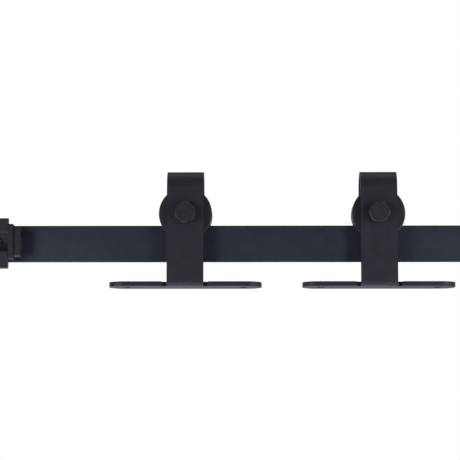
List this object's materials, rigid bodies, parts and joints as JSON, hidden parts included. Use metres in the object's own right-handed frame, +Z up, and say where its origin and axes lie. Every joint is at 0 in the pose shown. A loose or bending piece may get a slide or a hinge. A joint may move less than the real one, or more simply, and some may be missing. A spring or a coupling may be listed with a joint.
{
  "type": "sliding barn door hardware",
  "caption": "Flat wall rail with rubber-faced end stops and bent strap hangers on grooved ball-bearing wheels that carry a sliding door by its top edge.",
  "frame": {"origin": "on the wall's surface, on the axis of the middle wall fixing", "axes": "+X along the rail to the right, +Y into the wall, +Z up; the front faces -Y"},
  "size_m": [1.2192, 0.1203, 0.1274],
  "materials": {
    "powder_coat": "matt black fine-texture powder coat",
    "black_wheel": "satin black coated turned steel",
    "black_steel": "black oxide on steel fasteners",
    "bearing_steel": "ground bearing steel",
    "brass": "turned brass",
    "nylon": "blue nylon",
    "rubber": "matt moulded black rubber",
    "seal": "smooth black seal rubber"
  },
  "bodies": {
    "rail_and_stops": {"rail": "powder_coat", "left_wall_spacer": "powder_coat", "left_lag_washer": "black_steel", "left_lag_screw": "black_steel", "middle_wall_spacer": "powder_coat", "middle_lag_washer": "black_steel", "middle_lag_screw": "black_steel", "right_wall_spacer": "powder_coat", "right_lag_washer": "black_steel", "right_lag_screw": "black_steel", "left_stop_block": "powder_coat", "left_bumper": "rubber", "left_lower_bumper_screw": "black_steel", "left_upper_bumper_screw": "black_steel", "left_clamp_screw": "black_steel", "right_stop_block": "powder_coat", "right_bumper": "rubber", "right_lower_bumper_screw": "black_steel", "right_upper_bumper_screw": "black_steel", "right_clamp_screw": "black_steel"},
    "left_hanger": {"left_bracket": "powder_coat", "left_axle_bolt": "black_steel", "left_axle_washer": "black_steel", "left_axle_nut": "black_steel", "left_nut_insert": "nylon", "left_front_side_ring": "brass", "left_rear_side_ring": "brass", "left_bearing_sleeve": "bearing_steel", "left_front_bearing_inner_race": "bearing_steel", "left_rear_bearing_inner_race": "bearing_steel"},
    "left_wheel": {"left_wheel": "black_wheel", "left_front_bearing_outer_race": "bearing_steel", "left_front_bearing_front_shield": "seal", "left_front_bearing_rear_shield": "seal", "left_rear_bearing_outer_race": "bearing_steel", "left_rear_bearing_front_shield": "seal", "left_rear_bearing_rear_shield": "seal"},
    "left_bearing_balls": {"left_front_bearing_balls": "bearing_steel", "left_rear_bearing_balls": "bearing_steel"},
    "right_hanger": {"right_bracket": "powder_coat", "right_axle_bolt": "black_steel", "right_axle_washer": "black_steel", "right_axle_nut": "black_steel", "right_nut_insert": "nylon", "right_front_side_ring": "brass", "right_rear_side_ring": "brass", "right_bearing_sleeve": "bearing_steel", "right_front_bearing_inner_race": "bearing_steel", "right_rear_bearing_inner_race": "bearing_steel"},
    "right_wheel": {"right_wheel": "black_wheel", "right_front_bearing_outer_race": "bearing_steel", "right_front_bearing_front_shield": "seal", "right_front_bearing_rear_shield": "seal", "right_rear_bearing_outer_race": "bearing_steel", "right_rear_bearing_front_shield": "seal", "right_rear_bearing_rear_shield": "seal"},
    "right_bearing_balls": {"right_front_bearing_balls": "bearing_steel", "right_rear_bearing_balls": "bearing_steel"}
  },
  "joints": [
    {"name": "left_hanger_slide", "type": "slide", "parent": "rail_and_stops", "child": "left_hanger", "axis": [1, 0, 0], "range_m": [-0.1538, 0.732]},
    {"name": "left_wheel_spin", "type": "hinge", "parent": "left_hanger", "child": "left_wheel", "pos_m": [-0.3948, -0.043, 0.0413], "axis": [0, 1, 0], "continuous": true},
    {"name": "left_ball_spin", "type": "hinge", "parent": "left_hanger", "child": "left_bearing_balls", "pos_m": [-0.3948, -0.043, 0.0413], "axis": [0, 1, 0], "continuous": true},
    {"name": "right_hanger_slide", "type": "slide", "parent": "rail_and_stops", "child": "right_hanger", "axis": [1, 0, 0], "range_m": [-0.1538, 0.732]},
    {"name": "right_wheel_spin", "type": "hinge", "parent": "right_hanger", "child": "right_wheel", "pos_m": [-0.1834, -0.043, 0.0413], "axis": [0, 1, 0], "continuous": true},
    {"name": "right_ball_spin", "type": "hinge", "parent": "right_hanger", "child": "right_bearing_balls", "pos_m": [-0.1834, -0.043, 0.0413], "axis": [0, 1, 0], "continuous": true}
  ],
  "couplings": [
    {"joint": "right_hanger_slide", "follows": "left_hanger_slide", "ratio": 1},
    {"joint": "left_wheel_spin", "follows": "left_hanger_slide", "rad_per_m": 83.333},
    {"joint": "left_ball_spin", "follows": "left_hanger_slide", "rad_per_m": 48.115},
    {"joint": "right_wheel_spin", "follows": "left_hanger_slide", "rad_per_m": 83.333},
    {"joint": "right_ball_spin", "follows": "left_hanger_slide", "rad_per_m": 48.115}
  ]
}
